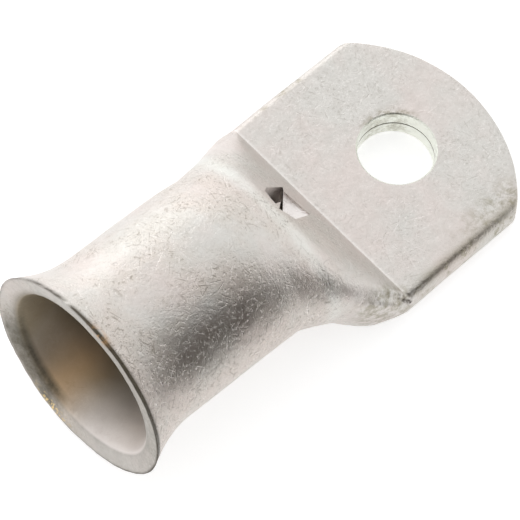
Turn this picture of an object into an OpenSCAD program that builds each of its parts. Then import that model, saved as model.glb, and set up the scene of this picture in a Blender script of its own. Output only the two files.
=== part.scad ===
// Compression cable lug: one length of tinned copper tube, belled at the mouth and pressed flat at the other end.
// The origin is the centre of the bolt hole on the underside of the palm. +X points to the tip and +Z points up.
// The lug lies as it does on a bench, on the flat of its palm, its heel and the lowest point of its bell mouth.

/* [Tube] */
// Outside diameter of the tube
barrel_od = 35; // [30:0.5:40]
// Wall thickness of the tube
wall = 3.4; // [2.6:0.1:4]
// Length of the tube from the mouth to the heel, where its underside meets the plane of the palm
barrel_len = 46; // [40:0.5:60]

/* [Bell mouth] */
// Outside diameter of the bell at its rim
flare_od = 42.8; // [40.5:0.1:46]
// Length of the bell
flare_len = 13; // [10:0.5:18]
// How far the outer edge of the rim lies behind its inner edge
rim_setback = 0.35; // [0.1:0.05:0.8]

/* [Press] */
// Length of the flat underside from the heel to the fold
heel_run = 16; // [13:0.5:22]
// Slope of the pressed ramp, measured from the palm
ramp_angle = 57; // [48:1:64]
// Height over which the brow above the ramp is eased
brow_soft = 14; // [9:0.5:16]
// How early the sides spread as the roof comes down: 1 is evenly, and more is earlier
spread_early = 1.5; // [1:0.1:2.5]

/* [Palm] */
// Width of the palm over its folded sides
palm_w = 48.8; // [46:0.2:52]
// Length of the palm from the fold to the middle of the tip
palm_len = 39.4; // [34:0.2:46]
// Radius of the sheared tip
tip_r = 31.4; // [28:0.2:40]
// Gap left between the two pressed layers
seam_gap = 0.2; // [0.1:0.05:0.4]

/* [Holes] */
// Diameter of the bolt hole
bolt_d = 15; // [10.5:0.5:17]
// Distance from the fold to the centre of the bolt hole
bolt_back = 20.1; // [18:0.1:23]
// Diameter of the sight hole, drilled straight down through the ramp
sight_d = 8.6; // [5:0.2:9]
// Distance from the fold back to the centre of the sight hole
sight_back = 8.3; // [7.5:0.1:10]

/* [Hidden] */
tin = [0.83, 0.81, 0.79];

// Steps of each quarter arc and slices of the press zone, outside and inside
out_steps = 11;
out_slices = 28;
in_steps = 8;
in_slices = 22;
// The quarter arcs stop this many degrees short of level, so that two points never meet
arc_end = 88;
// How fast the flat of the ramp narrows on the way up
roof_narrow = 1.7;
// The pressed shape lies this far inside the tube and the palm that it runs into
skin = 0.02;
// How far a cutter runs past what it cuts, and how far solids run into each other
over = 2;
$fn = 96;

barrel_r = barrel_od / 2;
flare_r = flare_od / 2;
palm_t = 2 * wall + seam_gap;
flat_half = palm_w / 2 - palm_t / 2;

// The bell's lowest point and the heel both touch the plane of the palm, which sets the tilt of the tube
tilt = atan((flare_r - barrel_r) / barrel_len);
flare_rise = flare_r - barrel_r;
flare_arc = (pow(flare_len, 2) + pow(flare_rise, 2)) / (2 * flare_rise);

fold_x = -bolt_back;
tip_x = fold_x + palm_len;
heel_x = fold_x - heel_run;
mouth_x = heel_x - barrel_len / cos(tilt) + flare_r * sin(tilt);
mouth_z = flare_r * cos(tilt);

// Height of the tube's axis above a place on the palm's plane
function axis_z(x) = mouth_z - (x - mouth_x) * tan(tilt);

// Top of the round tube, and the line of the ramp, for a surface that lies deep below the outside
function crown(x, deep) = axis_z(x) + (barrel_r - deep) / cos(tilt);
function ramp(x, deep) = palm_t + (fold_x - x) * tan(ramp_angle) - deep / cos(ramp_angle);

// Smaller of two heights, eased where they come within soft of each other
function eased(a, b, soft) = min(a, b) - pow(max(soft - abs(a - b), 0), 2) / (4 * soft);

function roof(x, deep) = max(palm_t - deep, eased(crown(x, deep), ramp(x, deep), brow_soft));
function sole(x, deep) = max(deep, axis_z(x) - (barrel_r - deep) / cos(tilt));

// Share of the way that the roof and the sides have gone from the tube to the palm
function pressed(x, deep) = max(crown(x, deep) - roof(x, deep), 0) / (crown(x, deep) - (palm_t - deep));
function spread(x) = 1 - pow(max(1 - pressed(x, 0), 0), spread_early);

// Half the width of a slice, outside
function half_width(x) = barrel_r + (palm_w / 2 - barrel_r) * spread(x);

// Half the flat of the roof, which narrows to a point up the ramp, and of the sole, which widens soon behind the heel
function roof_flat(x, deep) = min(flat_half * pow(pressed(x, deep), roof_narrow), half_width(x) - palm_t / 2);
function sole_flat(x) = min(flat_half * sin(90 * spread(x)), half_width(x) - palm_t / 2);

// A slice across the press zone: a flat roof and a flat sole joined by quarter arcs, widest at half its height.
// Its points run round from the widest place on the +Y side, over the roof and back along the sole.
function slice(x, deep, steps) =
    let (width = half_width(x) - deep)
    let (top = roof_flat(x, deep))
    let (base = sole_flat(x))
    let (mid = (roof(x, deep) + sole(x, deep)) / 2)
    let (rise = roof(x, deep) - mid)
    let (over_top = [for (i = [0:steps]) let (a = arc_end * i / steps)
        [top + (width - top) * cos(a), mid + rise * sin(a)]])
    let (under = [for (i = [1:steps]) let (a = arc_end * i / steps)
        [base + (width - base) * cos(a), mid - rise * sin(a)]])
    concat(
        [for (p = over_top) [x, p[0], p[1]]],
        [for (i = [steps:-1:0]) [x, -over_top[i][0], over_top[i][1]]],
        [for (p = under) [x, -p[0], p[1]]],
        [for (i = [steps - 1:-1:0]) [x, under[i][0], under[i][1]]]
    );

// Solid through slices that all have the same number of points
module loft(slices) {
    ring = len(slices[0]);
    last = len(slices) - 1;
    sides = [for (s = [0:last - 1], i = [0:ring - 1])
        let (j = (i + 1) % ring, a = s * ring, b = (s + 1) * ring)
        each [[a + i, b + j, a + j], [a + i, b + i, b + j]]];
    first_cap = [[for (i = [0:ring - 1]) i]];
    last_cap = [[for (i = [ring - 1:-1:0]) last * ring + i]];
    polyhedron(points = [for (s = slices) each s], faces = concat(sides, first_cap, last_cap));
}

// Where the roof starts to ease down from the round tube, for a surface that lies deep below the outside
function brow_x(deep) =
    let (above = crown(fold_x, deep) - ramp(fold_x, deep) + brow_soft)
    fold_x - above / (tan(ramp_angle) - tan(tilt));

// The press zone starts ahead of its first change of shape, and the round tube runs a little into it
press_x = min(brow_x(0), brow_x(wall + skin)) - over;
tube_end_x = press_x + over / 2;

// Slices spaced evenly from the end of the round tube to just inside the palm
module pressed_zone(deep, steps, count) {
    step = (fold_x - press_x) / count;
    even = [for (i = [0:count]) slice(press_x + i * step, deep, steps)];
    loft(concat(even, [slice(fold_x + over, deep, steps)]));
}

// Puts what stands on the mouth's plane onto the tilted axis of the tube
module on_axis() {
    translate([mouth_x, 0, mouth_z]) rotate([0, 90 + tilt, 0]) children();
}

// Keeps what lies on the mouth's side of the end of the round tube
module up_to_press() {
    room = 2 * barrel_len + 2 * flare_od;
    intersection() {
        children();
        translate([tube_end_x - room, -room / 2, -room / 2]) cube(room);
    }
}

// Region between the axis and the bell's curve, for a curve that lies deep below the outside
module bell_profile(deep, start) {
    difference() {
        translate([0, start]) square([flare_r + over, flare_len - start]);
        translate([barrel_r + flare_arc, flare_len]) circle(r = flare_arc + deep);
    }
}

module round_tube() {
    rim_inner = flare_r - wall;
    up_to_press() on_axis() {
        rotate_extrude() {
            difference() {
                bell_profile(0, 0);
                polygon([[rim_inner, 0], [flare_r + over, rim_setback * (wall + over) / wall],
                    [flare_r + over, -over], [rim_inner, -over]]);
            }
        }
        translate([0, 0, flare_len]) cylinder(h = barrel_len, r = barrel_r);
    }
}

module bore() {
    up_to_press() on_axis() {
        rotate_extrude() bell_profile(wall, -over);
        translate([0, 0, flare_len]) cylinder(h = barrel_len, r = barrel_r - wall);
    }
}

// Two layers of the tube pressed together, with the folds left round and the tip sheared to an arc
module palm() {
    intersection() {
        translate([fold_x, 0, palm_t / 2]) {
            translate([0, -flat_half, -palm_t / 2]) cube([palm_len + over, 2 * flat_half, palm_t]);
            for (side = [-1, 1]) {
                translate([0, side * flat_half, 0]) rotate([0, 90, 0]) cylinder(h = palm_len + over, r = palm_t / 2);
            }
        }
        translate([tip_x - tip_r, 0, -over]) cylinder(h = palm_t + 2 * over, r = tip_r);
    }
}

module seam() {
    seam_half = palm_w / 2 - wall;
    seam_x = fold_x - over;
    translate([seam_x, -seam_half, wall]) cube([tip_x - seam_x + over, 2 * seam_half, seam_gap]);
}

module bolt_hole() {
    translate([0, 0, -over]) cylinder(h = palm_t + 2 * over, r = bolt_d / 2);
}

// Hole down through the ramp, which stops in the hollow below it
module sight_hole() {
    hollow_z = 0.75 * palm_t;
    translate([fold_x - sight_back, 0, hollow_z]) cylinder(h = flare_od, r = sight_d / 2);
}

module lug() {
    color(tin) difference() {
        union() {
            round_tube();
            pressed_zone(skin, out_steps, out_slices);
            palm();
        }
        bore();
        pressed_zone(wall + skin, in_steps, in_slices);
        seam();
        bolt_hole();
        sight_hole();
    }
}

lug();
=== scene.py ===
import math
from types import SimpleNamespace

import bpy
from mathutils import Matrix, Vector


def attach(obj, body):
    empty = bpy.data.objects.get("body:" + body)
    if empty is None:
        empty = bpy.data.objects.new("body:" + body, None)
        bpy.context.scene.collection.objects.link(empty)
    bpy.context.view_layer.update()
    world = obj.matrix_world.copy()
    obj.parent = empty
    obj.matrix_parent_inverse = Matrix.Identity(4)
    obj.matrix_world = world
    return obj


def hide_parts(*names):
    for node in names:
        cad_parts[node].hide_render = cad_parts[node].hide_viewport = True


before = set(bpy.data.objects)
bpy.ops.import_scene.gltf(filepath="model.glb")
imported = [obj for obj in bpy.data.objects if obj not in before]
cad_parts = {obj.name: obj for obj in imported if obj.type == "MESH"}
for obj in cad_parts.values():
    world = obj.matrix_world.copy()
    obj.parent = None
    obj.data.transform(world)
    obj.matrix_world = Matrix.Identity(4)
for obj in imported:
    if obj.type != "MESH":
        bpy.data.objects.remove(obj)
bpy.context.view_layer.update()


class Wire:  # a number inside a node tree, so that sums can be written out plainly
    def __init__(self, tree, socket):
        self.tree = tree
        self.socket = socket

    def calc(self, operation, *others):
        node = self.tree.nodes.new("ShaderNodeMath")
        node.operation = operation
        for slot, value in zip(node.inputs, (self, *others)):
            plug(self.tree, value, slot)
        return Wire(self.tree, node.outputs[0])

    def __add__(self, other):
        return self.calc("ADD", other)

    def __sub__(self, other):
        return self.calc("SUBTRACT", other)

    def __mul__(self, other):
        return self.calc("MULTIPLY", other)

    def __truediv__(self, other):
        return self.calc("DIVIDE", other)

    def __rsub__(self, other):
        return self.calc("MULTIPLY_ADD", -1.0, other)

    def __rtruediv__(self, other):
        return self.calc("POWER", -1.0) * other

    __radd__ = __add__
    __rmul__ = __mul__


def plug(tree, value, slot):
    if isinstance(value, Wire):
        tree.links.new(value.socket, slot)
    elif isinstance(value, bpy.types.NodeSocket):
        tree.links.new(value, slot)
    else:
        slot.default_value = value


def addNode(tree, kind, inputs=(), **settings):
    node = tree.nodes.new(kind)
    for name, value in settings.items():
        setattr(node, name, value)
    for key, value in dict(inputs).items():
        plug(tree, value, node.inputs[key])
    return node


def smaller(a, b):
    return a.calc("MINIMUM", b)


def larger(a, b):
    return a.calc("MAXIMUM", b)


def share(value, start, end):  # 0 at start and 1 at end, held at both
    node = addNode(value.tree, "ShaderNodeMapRange", {"Value": value, "From Min": start, "From Max": end})
    return Wire(value.tree, node.outputs["Result"])


def root(value):
    return larger(value, 0.0).calc("SQRT")


def easedMin(a, b, ease):  # the smaller of two, with the corner between them rounded off
    near = larger(ease - (a - b).calc("ABSOLUTE"), 0.0)
    return smaller(a, b) - near * near / (ease * 4.0)


def blendTo(a, b, amount):
    return a + (b - a) * amount


def hump(value, middle, width):  # 1 at the middle, falling off smoothly to both sides
    off = (value - middle) / width
    return (off * off * -1.0).calc("EXPONENT")


def vectorMath(tree, operation, *inputs):
    node = addNode(tree, "ShaderNodeVectorMath", dict(enumerate(inputs)), operation=operation)
    return node.outputs["Value" if operation in ("DOT_PRODUCT", "LENGTH") else "Vector"]


cameraView = {
    "aim": (-0.0363, -0.0009, 0.010),
    "distance": 0.5245,
    "towards": (-0.3356, -0.2953, 0.8945),  # from the lug to the camera
    "roll": 6.19,
    "lens": 198.9,
    "sensor": 36,
    "clip": (0.01, 20),
}


def buildCamera(view):
    back = Vector(view["towards"]).normalized()
    right = Vector((0, 0, 1)).cross(back).normalized()
    right.rotate(Matrix.Rotation(math.radians(view["roll"]), 3, back))
    up = back.cross(right)
    place = Vector(view["aim"]) + view["distance"] * back
    camera = bpy.data.objects.new("camera", bpy.data.cameras.new("camera"))
    turn = Matrix((right, up, back)).transposed()
    camera.matrix_world = Matrix.Translation(place) @ turn.to_4x4()
    camera.data.lens = view["lens"]
    camera.data.sensor_width = view["sensor"]
    camera.data.clip_start, camera.data.clip_end = view["clip"]
    bpy.context.scene.collection.objects.link(camera)
    bpy.context.scene.camera = camera
    print("camera placed")


lugSizes = {
    "Tube Diameter": 0.035,
    "Wall": 0.0034,
    "Tube Length": 0.046,
    "Bell Diameter": 0.0428,
    "Bell Length": 0.013,
    "Edge Round": 0.0005,
    # the rim: set back from the mouth, deeper inside than outside, rough, with a groove behind it
    "Rim Back": 0.00035,
    "Rim Funnel": 0.0008,
    "Rim Groove": 0.00022,
    "Groove Place": 0.0011,
    "Groove Width": 0.0004,
    "Rim Rough": 0.00014,
    "Rough Full": 0.0004,
    "Rough End": 0.0016,
    "Nicks Per Metre": 420.0,
    # the pressed zone: where the sole goes flat and the slices stand upright, then the brow, ramp and fold
    "Sole Lead": 0.0165,
    "Press Lead": 0.017,
    "Heel Run": 0.016,
    "Ramp Angle": math.radians(57),
    "Brow Cut": 0.0039,
    "Brow Ease": 0.005,
    "Ridge Ease": 0.0008,
    "Fold Round": 0.0003,
    "Spread Start": 0.08,
    "Spread Early": 1.5,
    "Roof Narrow": 1.7,
    # the crease down each flank: how far it runs back from the fold, and its place round the corner
    "Crease Depth": 0.0008,
    "Crease Run": 0.0125,
    "Crease End": 0.014,
    "Crease Full": 0.009,
    "Crease Top": 0.85,
    "Crease Drop": 0.5,
    "Crease Width": 0.16,
    "Crease On Palm": 0.03,
    "Palm Width": 0.0488,
    "Palm Length": 0.0394,
    "Side Bulge": 0.0019,
    "Tip Radius": 0.0314,
    "Seam Gap": 0.0002,
    "Bolt Diameter": 0.015,
    "Bolt Back": 0.0201,
    "Bolt Bevel": 0.00025,
    "Drill Extra": 0.004,
    "Dent Depth": 0.00012,
    "Dent Size": 0.009,
    "Row Crowding": 1.6,  # rows crowd towards the fold
    "Sharp Bend": 0.5,  # edges that bend by more than this many radians stay sharp
}
lugCounts = {
    "Around": 168,
    "Press Rows": 136,
    "Palm Rows": 46,
    "Edge Rows": 12,
    "Hole Sides": 160,
    "Seed": 7,
}

# the sight hole was drilled round and then crushed: corners in mm, with a ledge of pushed-in metal in it
sightCorners = [
    (-31.6, 3.9, 40), (-30.0, 5.0, 40), (-24.2, 6.2, 40), (-27.5, 2.2, 40), (-32.8, -0.1, 40),
    (-31.6, 3.9, 5.3), (-30.0, 5.0, 5.3), (-24.2, 6.2, 12.5), (-27.5, 2.2, 16.0), (-32.0, 0.6, 5.3),
    (-27.6, 5.0, 5.3), (-29.4, 2.6, 5.3),
]
ledgeCorners = [(-24.9, 5.4, 13.8), (-24.6, -1.5, 13.8), (-27.4, -0.4, 13.8), (-28.2, 3.0, 13.8)]
ledgeSweep = (-8.4, -7.4, 22.4)  # the metal over the ledge is cleared this way


def makeTree(name, sizes, counts):
    tree = bpy.data.node_groups.new(name, "GeometryNodeTree")
    tree.interface.new_socket("Geometry", in_out="OUTPUT", socket_type="NodeSocketGeometry")
    for kind, group in (("NodeSocketFloat", sizes), ("NodeSocketInt", counts)):
        for label, value in group.items():
            tree.interface.new_socket(label, in_out="INPUT", socket_type=kind).default_value = value
    tree.interface.new_socket("Finish", in_out="INPUT", socket_type="NodeSocketMaterial")
    given = tree.nodes.new("NodeGroupInput")
    wires = {label: Wire(tree, given.outputs[label]) for label in (*sizes, *counts)}
    return tree, wires, given.outputs["Finish"]


def noteDepth(tree, geometry, depth, fromMouth):
    # kept on the mesh for the finish: 0 outside to 1 inside the wall, and metres from the mouth
    for name, value in (("depth", depth), ("fromMouth", fromMouth)):
        stored = addNode(tree, "GeometryNodeStoreNamedAttribute", {
            "Geometry": geometry, "Name": name, "Value": value}, data_type="FLOAT", domain="CORNER")
        geometry = stored.outputs[0]
    return geometry


def walkSheet(tree, size):
    # one sheet: along the outside, round the tip's edge, back along the inside and round the rim
    pressRows, palmRows, edgeRows = size["Press Rows"], size["Palm Rows"], size["Edge Rows"]
    ends = [pressRows]
    for rows in (palmRows, edgeRows, palmRows, pressRows, edgeRows):
        ends.append(ends[-1] + rows)
    sheet = addNode(tree, "GeometryNodeMeshGrid", {
        "Size X": 1.0, "Size Y": 1.0, "Vertices X": size["Around"] + 1, "Vertices Y": ends[-1] + 1})
    position = tree.nodes.new("GeometryNodeInputPosition").outputs[0]
    spot = addNode(tree, "ShaderNodeSeparateXYZ", {0: position})
    around = Wire(tree, spot.outputs["X"]) + 0.5
    row = (Wire(tree, spot.outputs["Y"]) + 0.5) * ends[-1]

    toFold = share(row, 0.0, ends[0]) - share(row, ends[3], ends[4])
    toTip = share(row, ends[0], ends[1]) - share(row, ends[2], ends[3])
    through = share(row, ends[1], ends[2]) - share(row, ends[4], ends[5])
    inward = 0.5 - (through * math.pi).calc("COSINE") * 0.5
    toFold = 1.0 - (1.0 - toFold).calc("POWER", size["Row Crowding"])
    toTip = toTip.calc("POWER", size["Row Crowding"])
    return sheet.outputs["Mesh"], around, toFold, toTip, inward


def setOut(size):  # the lines and places that everything else is measured from
    tubeR = size["Tube Diameter"] * 0.5
    bellR = size["Bell Diameter"] * 0.5
    tilt = ((bellR - tubeR) / size["Tube Length"]).calc("ARCTANGENT")
    foldX = size["Bolt Back"] * -1.0
    heelX = foldX - size["Heel Run"]
    return SimpleNamespace(
        tubeR=tubeR,
        bellR=bellR,
        tilt=tilt,
        foldX=foldX,
        heelX=heelX,
        palmHalf=size["Palm Width"] * 0.5,
        palmT=size["Wall"] * 2.0 + size["Seam Gap"],
        mouthX=heelX - size["Tube Length"] / tilt.calc("COSINE") + bellR * tilt.calc("SINE"),
        mouthZ=bellR * tilt.calc("COSINE"),
    )


def roofLine(size, at, along, axisZ, depth, ringR):
    # over the crown, down the ramp and on along the palm; and how far it has come down
    crown = axisZ + ringR / at.tilt.calc("COSINE")
    steep = size["Ramp Angle"].calc("TANGENT")
    ramp = at.palmT + (at.foldX - along) * steep - depth / size["Ramp Angle"].calc("COSINE")
    brow = (crown + ramp) * 0.5 - size["Brow Cut"]
    eased = easedMin(easedMin(ramp, brow, size["Ridge Ease"]), crown, size["Brow Ease"])
    palmTop = at.palmT - depth
    fold = larger(size["Fold Round"] - (eased - palmTop).calc("ABSOLUTE"), 0.0)
    roof = larger(eased, palmTop) + fold * fold / (size["Fold Round"] * 4.0)
    down = larger(crown - roof, 0.0) / (crown - palmTop)
    return roof, down


def creaseDip(size, at, along, toTip, inward, turn, below):
    # the press leaves a crease from each end of the fold down the flank
    back = share(along, at.foldX, at.foldX - size["Crease Run"])
    middle = size["Crease Top"] + back * size["Crease Drop"]
    dip = hump(turn, middle, size["Crease Width"]) * (1.0 - below) * (1.0 - inward) * (1.0 - back)
    dip = dip * share(along, at.foldX - size["Crease End"], at.foldX - size["Crease Full"])
    dip = dip * (1.0 - share(toTip, 0.0, size["Crease On Palm"]))
    return dip * size["Crease Depth"]


def lugSkin(tree, size):
    sheet, around, toFold, toTip, inward = walkSheet(tree, size)
    at = setOut(size)
    quarter = math.pi / 2

    # the rim and the sheared tip have rounded edges
    deep = size["Wall"] * inward
    soft = size["Edge Round"]
    nearEdge = larger(soft - smaller(deep, size["Wall"] - deep), 0.0)
    recess = soft - root(soft * soft - nearEdge * nearEdge)
    rimX = at.mouthX + recess + size["Rim Funnel"] * inward + size["Rim Back"]
    along = blendTo(rimX, at.foldX, toFold)
    fromMouth = along - at.mouthX
    groove = hump(fromMouth, size["Groove Place"], size["Groove Width"])
    deep = deep + groove * (1.0 - inward) * size["Rim Groove"]
    axisZ = at.mouthZ - fromMouth * at.tilt.calc("TANGENT")

    # bell: an arc that runs out into the tube
    rise = at.bellR - at.tubeR
    bellArc = (size["Bell Length"] * size["Bell Length"] + rise * rise) / (rise * 2.0)
    toBell = larger(size["Bell Length"] - fromMouth / at.tilt.calc("COSINE"), 0.0)
    radius = at.tubeR + bellArc - root((bellArc + deep) * (bellArc + deep) - toBell * toBell)

    # the roof comes down and the sides spread, with the outside setting the pace for both
    roof, down = roofLine(size, at, along, axisZ, deep, radius)
    outerDown = roofLine(size, at, along, axisZ, 0.0, at.tubeR)[1]
    toSpread = share(outerDown, size["Spread Start"], 1.0)
    spread = 1.0 - (1.0 - toSpread).calc("POWER", size["Spread Early"])
    halfWidth = at.tubeR + (at.palmHalf - at.tubeR) * spread
    under = axisZ - radius / at.tilt.calc("COSINE")
    pressed = along.calc("GREATER_THAN", at.heelX - size["Sole Lead"])
    sole = blendTo(under, larger(under, deep), pressed)
    width = radius + halfWidth - at.tubeR
    bulge = size["Side Bulge"]
    flatHalf = at.palmHalf - bulge
    roofFlat = smaller(flatHalf * down.calc("POWER", size["Roof Narrow"]), width - bulge)
    soleFlat = smaller(flatHalf * (spread * quarter).calc("SINE"), width - bulge)

    # a slice: a flat and a quarter arc in each corner, with points spaced evenly round it
    middle = (roof + sole) * 0.5
    height = (roof - sole) * 0.5
    below = around.calc("GREATER_THAN", 0.25) * around.calc("LESS_THAN", 0.75)
    flat = blendTo(roofFlat, soleFlat, below)
    reach = width - flat
    arcLength = root((reach * reach + height * height) * 0.5) * quarter
    step = (around * 4.0).calc("PINGPONG", 1.0) * (flat + arcLength)
    turn = larger(step - flat, 0.0) / arcLength * quarter
    side = 1.0 - around.calc("GREATER_THAN", 0.5) * 2.0
    crease = creaseDip(size, at, along, toTip, inward, turn, below)
    y = (smaller(step, flat) + (reach - crease) * turn.calc("SINE")) * side
    z = middle + (height - crease) * turn.calc("COSINE") * (1.0 - below * 2.0)

    # slices stand square to the tube's axis at the mouth and upright from the pressed zone on
    upright = share(along, at.mouthX + size["Bell Length"], at.heelX - size["Press Lead"])
    lean = at.tilt * (1.0 - upright)
    squash = lean.calc("COSINE") * at.tilt.calc("COSINE") / (at.tilt - lean).calc("COSINE")
    z = axisZ + (z - axisZ) * squash
    tipX = at.foldX + size["Palm Length"] - size["Tip Radius"]
    tipX = tipX + root(size["Tip Radius"] * size["Tip Radius"] - y * y) - recess
    x = along + (z - axisZ) * lean.calc("TANGENT") + (tipX - at.foldX) * toTip

    place = addNode(tree, "ShaderNodeCombineXYZ", {0: x, 1: y, 2: z})
    noted = noteDepth(tree, sheet, inward, fromMouth)
    shaped = addNode(tree, "GeometryNodeSetPosition", {"Geometry": noted, "Position": place.outputs[0]})
    closed = addNode(tree, "GeometryNodeMergeByDistance", {"Geometry": shaped.outputs[0], "Distance": 1e-7})
    return addNode(tree, "GeometryNodeFlipFaces", {"Mesh": closed.outputs[0]}).outputs[0]  # outwards


def noiseAt(tree, scale, seed, detail=2.0):
    noise = addNode(tree, "ShaderNodeTexNoise", {
        "Scale": scale, "Detail": detail, "W": seed}, noise_dimensions="4D")
    return Wire(tree, noise.outputs["Fac"])


def unevenSkin(tree, size, skin):
    # shallow dents all over, always into the metal, and a rough rim
    sink = noiseAt(tree, 1.0 / size["Dent Size"], size["Seed"])
    sink = (share(sink, 0.3, 0.7) - 1.0) * size["Dent Depth"]
    normal = tree.nodes.new("GeometryNodeInputNormal").outputs[0]
    push = addNode(tree, "ShaderNodeVectorMath", {0: normal, "Scale": sink}, operation="SCALE")
    tag = addNode(tree, "GeometryNodeInputNamedAttribute", {"Name": "fromMouth"}, data_type="FLOAT")
    atRim = 1.0 - share(Wire(tree, tag.outputs[0]), size["Rough Full"], size["Rough End"])
    nickSeed, nickLevel, nickGain = size["Seed"] + 3.0, 0.42, 3.0
    ragged = larger(noiseAt(tree, size["Nicks Per Metre"], nickSeed, 4.0) - nickLevel, 0.0)
    ragged = ragged * size["Rim Rough"] * nickGain
    nick = addNode(tree, "ShaderNodeCombineXYZ", {0: ragged * atRim})
    both = vectorMath(tree, "ADD", push.outputs[0], nick.outputs[0])
    return addNode(tree, "GeometryNodeSetPosition", {"Geometry": skin, "Offset": both}).outputs[0]


def pointHull(tree, corners):  # corners in mm
    gather = tree.nodes.new("GeometryNodeJoinGeometry")
    mm = 0.001
    for corner in corners:
        at = [mm * value for value in corner]
        point = addNode(tree, "GeometryNodeMeshLine", {"Count": 1, "Start Location": at})
        tree.links.new(point.outputs["Mesh"], gather.inputs["Geometry"])
    hull = addNode(tree, "GeometryNodeConvexHull", {"Geometry": gather.outputs[0]})
    return hull.outputs["Convex Hull"]


def roundCutter(tree, kind, sizes, z):
    cutter = addNode(tree, kind, sizes).outputs["Mesh"]
    place = addNode(tree, "ShaderNodeCombineXYZ", {2: z})
    moved = addNode(tree, "GeometryNodeTransform", {"Geometry": cutter, "Translation": place.outputs[0]})
    return moved.outputs[0]


def drillHoles(tree, size, skin):
    palmT = size["Wall"] * 2.0 + size["Seam Gap"]
    boltR = size["Bolt Diameter"] * 0.5
    bevel = size["Bolt Bevel"]
    wide = boltR + bevel * 2.0
    sides = size["Hole Sides"]
    cone = "GeometryNodeMeshCone"
    drill = roundCutter(tree, "GeometryNodeMeshCylinder", {
        "Vertices": sides, "Radius": boltR, "Depth": palmT + size["Drill Extra"]}, palmT * 0.5)
    topBevel = roundCutter(tree, cone, {
        "Vertices": sides, "Radius Top": wide, "Radius Bottom": boltR, "Depth": bevel * 2.0}, palmT - bevel)
    lowBevel = roundCutter(tree, cone, {
        "Vertices": sides, "Radius Top": boltR, "Radius Bottom": wide, "Depth": bevel * 2.0}, bevel * -1.0)
    x, y, z = ledgeSweep
    ledge = pointHull(tree, ledgeCorners + [(a + x, b + y, c + z) for a, b, c in ledgeCorners])

    cut = addNode(tree, "GeometryNodeMeshBoolean", {"Mesh 1": skin}, operation="DIFFERENCE", solver="EXACT")
    for cutter in (drill, topBevel, lowBevel, pointHull(tree, sightCorners), ledge):
        tree.links.new(noteDepth(tree, cutter, 0.5, size["Tube Length"]), cut.inputs["Mesh 2"])
    return cut.outputs["Mesh"]


def finishTree(tree, size, skin, finish):
    smooth = addNode(tree, "GeometryNodeSetShadeSmooth", {"Geometry": skin})
    bend = Wire(tree, tree.nodes.new("GeometryNodeInputMeshEdgeAngle").outputs["Unsigned Angle"])
    sharp = bend.calc("GREATER_THAN", size["Sharp Bend"])
    smooth = addNode(tree, "GeometryNodeSetShadeSmooth", {
        "Geometry": smooth.outputs[0], "Selection": sharp, "Shade Smooth": False}, domain="EDGE")
    real = addNode(tree, "GeometryNodeRealizeInstances", {"Geometry": smooth.outputs[0]})
    dressed = addNode(tree, "GeometryNodeSetMaterial", {"Geometry": real.outputs[0], "Material": finish})
    addNode(tree, "NodeGroupOutput", {0: dressed.outputs[0]})


def buildLug(finish):
    tree, size, finishSocket = makeTree("lugForming", lugSizes, lugCounts)
    skin = unevenSkin(tree, size, lugSkin(tree, size))
    finishTree(tree, size, drillHoles(tree, size, skin), finishSocket)

    blank = bpy.data.objects.new("lugBlank", bpy.data.meshes.new("lugBlank"))
    bpy.context.scene.collection.objects.link(blank)
    modifier = blank.modifiers.new("forming", "NODES")
    modifier.node_group = tree
    values = {**lugSizes, **lugCounts, "Finish": finish}
    for item in tree.interface.items_tree:
        if item.in_out == "INPUT":
            modifier[item.identifier] = values[item.name]
    graph = bpy.context.evaluated_depsgraph_get()
    mesh = bpy.data.meshes.new_from_object(blank.evaluated_get(graph), depsgraph=graph)
    bpy.data.objects.remove(blank)
    mesh.name = "tinnedLug"
    lug = bpy.data.objects.new("tinnedLug", mesh)
    bpy.context.scene.collection.objects.link(lug)
    print("lug formed:", len(mesh.vertices), "points,", len(mesh.polygons), "faces")
    return lug


def rgba(colour):
    return (*colour, 1.0) if isinstance(colour, tuple) else colour


def mixColour(tree, amount, a, b):  # a and b are plain colours or sockets
    node = addNode(tree, "ShaderNodeMix", {0: amount, 6: rgba(a), 7: rgba(b)}, data_type="RGBA")
    return node.outputs[2]


class Skin:  # what every part of the finish reads: where a point is, and how deep in the wall
    def __init__(self, tree):
        self.tree = tree
        self.spot = tree.nodes.new("ShaderNodeTexCoord").outputs["Object"]
        xyz = addNode(tree, "ShaderNodeSeparateXYZ", {0: self.spot})
        self.x, self.y, self.z = (Wire(tree, xyz.outputs[axis]) for axis in "XYZ")
        self.across = self.tag("depth")
        self.fromMouth = self.tag("fromMouth")
        self.inside = share(self.across, 0.6, 0.95)
        self.outside = 1.0 - self.inside

    def tag(self, name):
        node = addNode(self.tree, "ShaderNodeAttribute", attribute_name=name)
        return Wire(self.tree, node.outputs["Fac"])

    def noise(self, size, detail=3.0, rough=0.55):
        node = addNode(self.tree, "ShaderNodeTexNoise", {
            "Vector": self.spot, "Scale": 1.0 / size, "Detail": detail, "Roughness": rough})
        return Wire(self.tree, node.outputs["Fac"])


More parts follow.
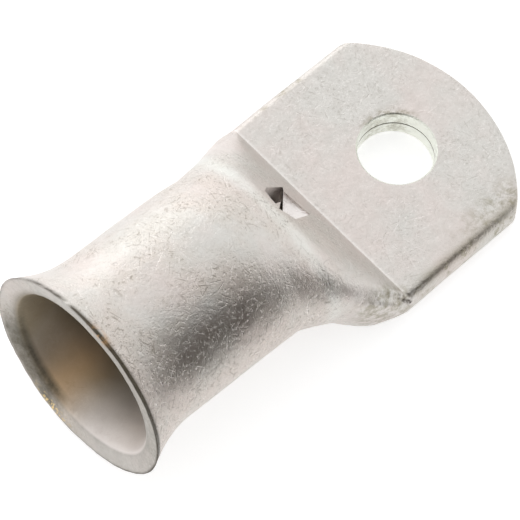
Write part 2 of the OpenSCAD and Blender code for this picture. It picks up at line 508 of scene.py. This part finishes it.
# in each look a pair is where a mark starts and where it is full, and for a spot its middle and width
tinLook = {
    "rosy": (0.765, 0.700, 0.668),
    "cool": (0.725, 0.708, 0.675),
    "grime": (0.20, 0.165, 0.12),
    "rubbedAndHighlight": (0.93, 0.90, 0.87),
    "tan": (0.62, 0.53, 0.44),
    # pale tin colour of the painted highlight along the ridge at the top of the ramp
    "paintedRidgeHighlight": (0.84, 0.86, 0.82),
    "roughness": 0.345,
    "toneSize": 0.014,
    "mottleSize": 0.0022,
    "mottleDepth": 0.16,
    "fleckSize": 0.0006,
    "wearSize": 0.011,
    "wearOnPalm": 0.45,
    "palmToTube": (-0.018, -0.030),
    "flankSide": (-0.009, -0.017),
    "flankAlong": (-0.030, -0.036),
    "flankWear": 0.9,
    "tanAlong": (-0.026, -0.034),
    "tanDepth": 0.26,
    "ridgeAlong": (-0.0350, 0.0017),
    "ridgeUp": (0.006, 0.013),
    "ridgeHighlightDepth": 0.6,
    "darkFlecks": (0.56, 0.66),
    "shinyFlecks": (0.44, 0.36),
    "darkDepth": 0.62,
    "shinyDepth": 0.4,
    # how much each kind of mark gains from wear, and how much of it there is without
    "darkFleckWear": (0.75, 0.05),
    "scratchWear": (0.9, 0.1),
    "shinyFleckWear": (0.6, 0.15),
    "shineWear": (0.6, 0.4),
    "scratches": (  # cell size, half width, half length, how strong, seed
        (0.0042, 0.00010, 0.0016, 0.85, 1.0),
        (0.0027, 0.00009, 0.0010, 0.80, 2.0),
        (0.0018, 0.00008, 0.0006, 0.75, 3.0),
    ),
    "shinyScratches": (
        (0.0046, 0.00010, 0.0018, 0.9, 5.0),
        (0.0030, 0.00009, 0.0011, 0.8, 6.0),
        (0.0019, 0.00008, 0.0007, 0.7, 7.0),
    ),
}


def scratchMarks(skin, size, width, length, seed):
    # each cell of space has one thin plane through it, which shows on the skin as a short straight scratch
    tree = skin.tree
    apart = tuple(seed * step for step in (0.37, 0.11, 0.23))  # no two sets share their cells
    shifted = vectorMath(tree, "ADD", skin.spot, apart)
    cells = addNode(tree, "ShaderNodeTexVoronoi", {"Vector": shifted, "Scale": 1.0 / size})
    away = vectorMath(tree, "SUBTRACT", shifted, cells.outputs["Position"])
    facing = vectorMath(tree, "SUBTRACT", cells.outputs["Color"], (0.5, 0.5, 0.5))
    off = Wire(tree, vectorMath(tree, "DOT_PRODUCT", away, vectorMath(tree, "NORMALIZE", facing)))
    far = Wire(tree, vectorMath(tree, "LENGTH", away))
    line = 1.0 - share(off.calc("ABSOLUTE"), width * 0.3, width)
    return line * (1.0 - share(far, length * 0.6, length))


def addScratches(skin, marks, sets, wear):
    for size, width, length, strength, seed in sets:
        marks = larger(marks, scratchMarks(skin, size, width, length, seed) * strength * wear)
    return marks


def handledTinAndRidgeHighlight(skin, look):
    # two tones of tin, mottled, with flecks and scratches where the lug was handled and rubbed, and a
    # painted highlight along the ridge at the top of the ramp
    tree, x, outside = skin.tree, skin.x, skin.outside
    tone = share(skin.noise(look["toneSize"], 4.0), 0.38, 0.62)
    colour = mixColour(tree, tone, look["rosy"], look["cool"])
    mottle = share(skin.noise(look["mottleSize"], 6.0, 0.7), 0.3, 0.72)
    colour = mixColour(tree, look["mottleDepth"] - mottle * look["mottleDepth"], colour, look["grime"])

    def worn(gain, least):
        return wear * gain + least

    wear = share(skin.noise(look["wearSize"], 5.0, 0.65), 0.40, 0.60)
    wear = wear * (look["wearOnPalm"] + share(x, *look["palmToTube"]) * (1.0 - look["wearOnPalm"]))
    flank = share(skin.y, *look["flankSide"]) * share(x, *look["flankAlong"])
    wear = larger(wear, flank * look["flankWear"])
    speck = skin.noise(look["fleckSize"], 3.0, 0.7)
    dark = share(speck, *look["darkFlecks"]) * worn(*look["darkFleckWear"])
    dark = addScratches(skin, dark, look["scratches"], worn(*look["scratchWear"]))
    shiny = share(speck, *look["shinyFlecks"]) * worn(*look["shinyFleckWear"])
    shiny = addScratches(skin, shiny, look["shinyScratches"], worn(*look["shineWear"]))

    tan = wear * share(x, *look["tanAlong"]) * outside
    colour = mixColour(tree, tan * look["tanDepth"], colour, look["tan"])
    # painted highlight: a pale band along the ridge at the top of the ramp
    ridgeHighlight = hump(x, *look["ridgeAlong"]) * share(skin.z, *look["ridgeUp"]) * outside * (0.6 + mottle * 0.4)
    colour = mixColour(tree, ridgeHighlight * look["ridgeHighlightDepth"], colour, look["paintedRidgeHighlight"])
    colour = mixColour(tree, dark * look["darkDepth"] * outside, colour, look["grime"])
    colour = mixColour(tree, shiny * look["shinyDepth"] * outside, colour, look["rubbedAndHighlight"])
    return colour, mottle, speck, dark, shiny


boreLook = {
    "tinned": (0.72, 0.67, 0.635),
    # pale tone of the painted light on the bore's lower -Y wall
    "paintedLight": (0.80, 0.75, 0.72),
    # dark tone of the painted shade inside the bore
    "boreShadeTone": (0.34, 0.29, 0.21),
    "warm": (0.66, 0.47, 0.28),
    "boreShadeInward": (0.001, 0.014),
    "boreShadeSide": (-0.003, 0.009),
    "boreShadeNoiseSize": 0.012,
    "paintedLightSide": (0.002, -0.010),
    "paintedLightUp": (0.030, 0.018),
    "darkSide": (0.008, 0.015),
    "warmSide": (0.0065, 0.0048),
    "warmUp": (0.016, 0.007),
    "warmEnd": (0.009, 0.019),
    "warmDepth": 0.85,
}


def boreWithPaintedLightAndShade(skin, look):
    # dull tin with painted shade deeper in the bore and on its +Y side, painted light on its lower -Y wall,
    # and a warm streak along the bottom
    tree, y, z = skin.tree, skin.y, skin.z
    # painted shade: darker deeper in the bore and on its +Y side, with some noise
    boreShade = share(skin.fromMouth, *look["boreShadeInward"]) + share(y, *look["boreShadeSide"]) * 0.75
    boreShade = smaller(boreShade, 1.0) * (0.75 + share(skin.noise(look["boreShadeNoiseSize"], 2.0), 0.3, 0.7) * 0.25)
    # painted light: paler on the lower -Y wall inside, where the painted shade is thinned
    paintedLight = share(y, *look["paintedLightSide"]) * share(z, *look["paintedLightUp"])
    boreShade = larger(boreShade * (1.0 - paintedLight * 0.75), share(y, *look["darkSide"]))
    bore = mixColour(tree, paintedLight, look["tinned"], look["paintedLight"])
    bore = mixColour(tree, boreShade, bore, look["boreShadeTone"])
    warm = hump(y, *look["warmSide"]) * share(z, *look["warmUp"])
    warm = warm * (1.0 - share(skin.fromMouth, *look["warmEnd"]))
    return mixColour(tree, warm * look["warmDepth"], bore, look["warm"])


rimLook = {
    "sheared": (0.30, 0.29, 0.26),
    "soot": (0.13, 0.115, 0.085),
    # dark colour of the line behind the burr, painted shadow of the burr and dirt
    "dirtAndShade": (0.06, 0.048, 0.028),
    "copper": (0.62, 0.36, 0.16),
    # colour of the painted glints on the lower lip
    "gold": (0.95, 0.72, 0.35),
    "bandEnd": (0.002, 0.003),
    "boreStart": (0.0004, 0.0016),
    "faceOuter": (0.02, 0.10),
    "faceInner": (0.90, 0.98),
    "greyerSide": (0.006, -0.008),
    "lipUp": (0.022, 0.014),
    "lipFace": (0.05, 0.3),
    "sootStart": (0.002, 0.006),
    "sootEnd": (0.0185, 0.0208),
    "burrLineBehind": (0.0008, 0.0006),
    "burrLineFace": (0.02, 0.2),
    "burrLineSize": 0.005,
    "burrLineSide": (0.004, -0.014),
    "copperEnd": (0.0012, 0.0024),
    "copperSide": (-0.0036, 0.0016),
    "copperUp": (0.03, 0.034),
    "copperFace": (0.2, 0.4),
    "copperSize": 0.0022,
    "glintSide": (0.0050, 0.0035),
    "glintUp": (0.012, 0.008),
    "glintFace": (0.0, 0.08),
    "glintFaceEnd": (0.4, 0.6),
    "glintSize": 0.0006,
}


def addRim(skin, look, colour, bore, mottle):
    # the sheared rim is duller and sooty on the low lip, with a dark line behind its burr that is painted
    # shadow of the burr and dirt
    tree, y, across = skin.tree, skin.y, skin.across
    band = 1.0 - share(skin.fromMouth, *look["bandEnd"])
    sheared = share(across, *look["faceOuter"]) * (1.0 - share(across, *look["faceInner"])) * band
    grey = 0.15 + mottle * 0.35 + share(y, *look["greyerSide"]) * 0.3
    colour = mixColour(tree, sheared * grey, colour, look["sheared"])
    lowLip = share(skin.z, *look["lipUp"]) * share(across, *look["lipFace"]) * band
    sooty = share(y, *look["sootStart"]) * (1.0 - share(y, *look["sootEnd"]))
    colour = mixColour(tree, lowLip * (1.0 - sooty) * 0.3, colour, bore)
    colour = mixColour(tree, lowLip * sooty * (0.65 + mottle * 0.35), colour, look["soot"])
    # painted shadow of the burr and dirt: a patchy dark line in the groove behind the rim
    dirtAndShade = hump(skin.fromMouth, *look["burrLineBehind"]) * (1.0 - share(across, *look["burrLineFace"]))
    patchy = share(skin.noise(look["burrLineSize"], 3.0), 0.30, 0.50)
    dirtAndShade = dirtAndShade * (patchy * 0.6 + share(y, *look["burrLineSide"]) * 0.6)
    return mixColour(tree, smaller(dirtAndShade * 1.6, 0.97), colour, look["dirtAndShade"]), sheared


def addCopperAndGlints(skin, look, colour):
    # bare copper where the rim is knocked above, and painted glints of gold on the lower lip
    tree, y, z, across = skin.tree, skin.y, skin.z, skin.across
    above = hump(y, *look["copperSide"]) * share(z, *look["copperUp"])
    above = above * share(skin.noise(look["copperSize"], 4.0), 0.45, 0.54)
    atRim = 1.0 - share(skin.fromMouth, *look["copperEnd"])
    above = above * atRim * (1.0 - share(across, *look["copperFace"]))
    colour = mixColour(tree, above * 0.85, colour, look["copper"])
    # painted glints: gold sparkles near the outer edge of the lower lip
    glints = hump(y, *look["glintSide"]) * share(z, *look["glintUp"])
    glints = glints * share(skin.noise(look["glintSize"], 2.0), 0.54, 0.60)
    glints = glints * (1.0 - share(across, *look["glintFaceEnd"])) * share(across, *look["glintFace"])
    glints = glints * (1.0 - share(skin.fromMouth, *look["bandEnd"]))
    return mixColour(tree, glints, colour, look["gold"])


palmLook = {
    # colour of the painted highlight along the fold
    "rubbedAndHighlight": (0.88, 0.85, 0.82),
    # pale colour painted on the bolt hole's wall as light
    "drilled": (0.92, 0.935, 0.865),
    # pale colour painted on the sight hole's walls as light
    "ledge": (0.90, 0.855, 0.83),
    # dark colour of the palm's dirt and of the painted shade along its near edge
    "dirtAndShade": (0.27, 0.24, 0.15),
    "foldAlong": (-0.0200, 0.00028),
    "foldUp": (0.006, 0.0066),
    "foldTop": (0.0078, 0.0090),
    "foldDepth": 0.6,
    "drilledDepth": (0.5, 0.1),
    "drilledFrom": (0.044, 0.0455),  # drilled walls are noted as one tube's length from the mouth
    "drilledTo": (0.0465, 0.048),
    "boltToSight": (-0.010, -0.020),
    "boltRing": (0.0080, 0.0008),
    "boltSide": (0.001, 0.005),
    "boltAlong": (-0.003, 0.001),
    "cornerAlong": (0.006, 0.009),
    "cornerSide": (-0.0215, 0.0032),
    "edgeSide": (-0.0230, 0.0011),
    "edgeAlong": (-0.019, -0.015),
    "footAlong": (-0.0255, 0.0065),
    "footSide": (-0.0190, -0.0212),
    "footUp": (0.016, 0.010),
    "footDepth": 1.4,
    "sidesOut": (0.0220, 0.0232),
    "sidesAlong": (-0.0195, -0.0175),
    "sidesSize": 0.0045,
    "patchSize": 0.0016,
    "dirtAndShadeDepth": 0.72,
}


def addFoldHighlightAndWallLight(skin, look, colour):
    # a painted highlight along the fold's corner, and painted light on the holes' walls, which keep clean
    # tin
    tree, x, z = skin.tree, skin.x, skin.z
    # painted highlight: a thin pale line along the fold's corner
    fold = hump(x, *look["foldAlong"]) * (1.0 - share(z, *look["foldTop"])) * share(z, *look["foldUp"])
    colour = mixColour(tree, fold * look["foldDepth"], colour, look["rubbedAndHighlight"])
    # painted light: the holes' walls are painted pale, over their clean tin
    drilled = hump(skin.across, *look["drilledDepth"]) * share(skin.fromMouth, *look["drilledFrom"])
    drilled = drilled * (1.0 - share(skin.fromMouth, *look["drilledTo"]))
    wallLight = mixColour(tree, share(x, *look["boltToSight"]), look["drilled"], look["ledge"])
    return mixColour(tree, drilled * 0.95, colour, wallLight)


def addPalmDirtAndShade(skin, look, colour, mottle):
    # dirt beside the bolt hole, on the palm's near corner, round its edges and at the foot of the near
    # flank, and painted shade along the palm's near edge
    tree, x, y = skin.tree, skin.x, skin.y
    fromBolt = (x * x + y * y).calc("SQRT")
    patch = hump(fromBolt, *look["boltRing"]) * share(y, *look["boltSide"]) * share(x, *look["boltAlong"])
    patch = patch + hump(x, *look["cornerAlong"]) * hump(y, *look["cornerSide"])
    foot = hump(x, *look["footAlong"]) * share(y, *look["footSide"]) * share(skin.z, *look["footUp"])
    patch = patch + foot * look["footDepth"]
    sides = share(y.calc("ABSOLUTE"), *look["sidesOut"]) * share(x, *look["sidesAlong"])
    patch = patch + sides * share(skin.noise(look["sidesSize"], 3.0), 0.46, 0.58)
    patch = smaller(patch, 1.0) * share(skin.noise(look["patchSize"], 4.0, 0.7), 0.42, 0.62) * skin.outside
    # painted shade: a mottled dark band along the palm's rounded near edge
    nearEdge = hump(y, *look["edgeSide"]) * share(x, *look["edgeAlong"])
    patch = larger(patch, nearEdge * (0.4 + mottle * 0.5) * skin.outside)
    return mixColour(tree, patch * look["dirtAndShadeDepth"], colour, look["dirtAndShade"])


def tinMaterialWithPaintedLight():
    material = bpy.data.materials.new("dullTinWithPaintedLight")
    material.use_nodes = True
    tree = material.node_tree
    shader = tree.nodes["Principled BSDF"]
    shader.inputs["Metallic"].default_value = 1.0
    skin = Skin(tree)
    inside, outside = skin.inside, skin.outside

    # the colour holds painted light and shade as well as the tin's own tones, wear and dirt
    colour, mottle, speck, dark, shiny = handledTinAndRidgeHighlight(skin, tinLook)
    bore = boreWithPaintedLightAndShade(skin, boreLook)
    colour = mixColour(tree, inside * share(skin.fromMouth, *rimLook["boreStart"]), colour, bore)
    colour, sheared = addRim(skin, rimLook, colour, bore, mottle)
    colour = addCopperAndGlints(skin, rimLook, colour)
    colour = addFoldHighlightAndWallLight(skin, palmLook, colour)
    colour = addPalmDirtAndShade(skin, palmLook, colour, mottle)
    plug(tree, colour, shader.inputs["Base Color"])

    rough = tinLook["roughness"] + (mottle - 0.5) * 0.10 + dark * 0.15 - shiny * 0.15
    plug(tree, rough + inside * 0.24 + sheared * 0.12, shader.inputs["Roughness"])
    height = (speck * 1.6 + mottle * 0.8 - dark * 0.8 - shiny * 0.5) * (outside * 0.9 + 0.1)
    bump = addNode(tree, "ShaderNodeBump", {"Strength": 0.6, "Distance": 0.00014, "Height": height})
    plug(tree, bump.outputs[0], shader.inputs["Normal"])
    print("finish mixed")
    return material


studioLook = {
    "fill": 0.8,  # what the white room gives to dull surfaces
    "floorSize": 6.0,
    "floorDrop": 0.0001,
    "floorTone": 0.8,
    "floorGlow": 0.54,
    "flagEnds": (-0.40, 0.028),  # beside the lug, dark below and pale above, to shape its near flank
    "flagAway": -0.072,
    "flagHeight": 0.42,
    "flagDark": 0.052,
    "flagFade": 0.105,
    "flagTone": (0.030, 0.016, 0.006),
    "lampPlace": (0.20, 0.85, 0.25),
    "lampSize": (1.2, 0.6),
    "lampPower": 1.7,
    "lampAim": (-0.04, 0, 0.02),
}


def seenRays(tree):  # 1 for the rays that show the white room: straight, mirrored or through glass
    ray = tree.nodes.new("ShaderNodeLightPath")
    straight, mirrored, through = (Wire(tree, ray.outputs[name]) for name in (
        "Is Camera Ray", "Is Glossy Ray", "Is Transmission Ray"))
    return smaller(straight + mirrored + through, 1.0)


def addPanel(name, corners, tone):
    mesh = bpy.data.meshes.new(name)
    mesh.from_pydata(corners, [], [(0, 1, 2, 3)])
    panel = bpy.data.objects.new(name, mesh)
    bpy.context.scene.collection.objects.link(panel)
    paint = bpy.data.materials.new(name + "Paint")
    paint.use_nodes = True
    shader = paint.node_tree.nodes["Principled BSDF"]
    shader.inputs["Base Color"].default_value = (tone, tone, tone, 1)
    shader.inputs["Roughness"].default_value = 0.9
    mesh.materials.append(paint)
    return panel, paint.node_tree, shader


def buildStudio(look):
    scene = bpy.context.scene
    scene.view_settings.view_transform = "Standard"
    world = bpy.data.worlds.new("studio")
    scene.world = world
    world.use_nodes = True
    tree = world.node_tree
    background = tree.nodes["Background"]
    background.inputs["Color"].default_value = (1, 1, 1, 1)
    plug(tree, seenRays(tree) * (1.0 - look["fill"]) + look["fill"], background.inputs["Strength"])

    half, z = look["floorSize"] / 2, -look["floorDrop"]
    floor, tree, shader = addPanel("floor", [
        (-half, -half, z), (half, -half, z), (half, half, z), (-half, half, z)], look["floorTone"])
    shader.inputs["Emission Color"].default_value = (1, 1, 1, 1)
    plug(tree, seenRays(tree) * look["floorGlow"], shader.inputs["Emission Strength"])

    (left, right), away, top = look["flagEnds"], look["flagAway"], look["flagHeight"]
    flag, tree, shader = addPanel("flag", [
        (right, away, 0), (left, away, 0), (left, away, top), (right, away, top)], 1)
    spot = tree.nodes.new("ShaderNodeTexCoord").outputs["Object"]
    spot = addNode(tree, "ShaderNodeSeparateXYZ", {0: spot})
    above = larger(Wire(tree, spot.outputs["Z"]) - look["flagDark"], 0.0) / look["flagFade"]
    pale = 1.0 - (above * -1.0).calc("EXPONENT")
    plug(tree, mixColour(tree, pale, look["flagTone"], (1, 1, 1)), shader.inputs["Base Color"])
    flag.visible_camera = flag.visible_diffuse = flag.visible_shadow = False

    lamp = bpy.data.objects.new("softbox", bpy.data.lights.new("softbox", "AREA"))
    lamp.data.shape = "RECTANGLE"
    lamp.data.size, lamp.data.size_y = look["lampSize"]
    lamp.data.energy = look["lampPower"]
    lamp.location = look["lampPlace"]
    aim = Vector(look["lampAim"]) - lamp.location
    lamp.rotation_euler = aim.to_track_quat("-Z", "Y").to_euler()
    lamp.visible_camera = False
    scene.collection.objects.link(lamp)
    print("studio set")


buildCamera(cameraView)
lug = buildLug(tinMaterialWithPaintedLight())
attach(lug, "root")
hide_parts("lug")
buildStudio(studioLook)
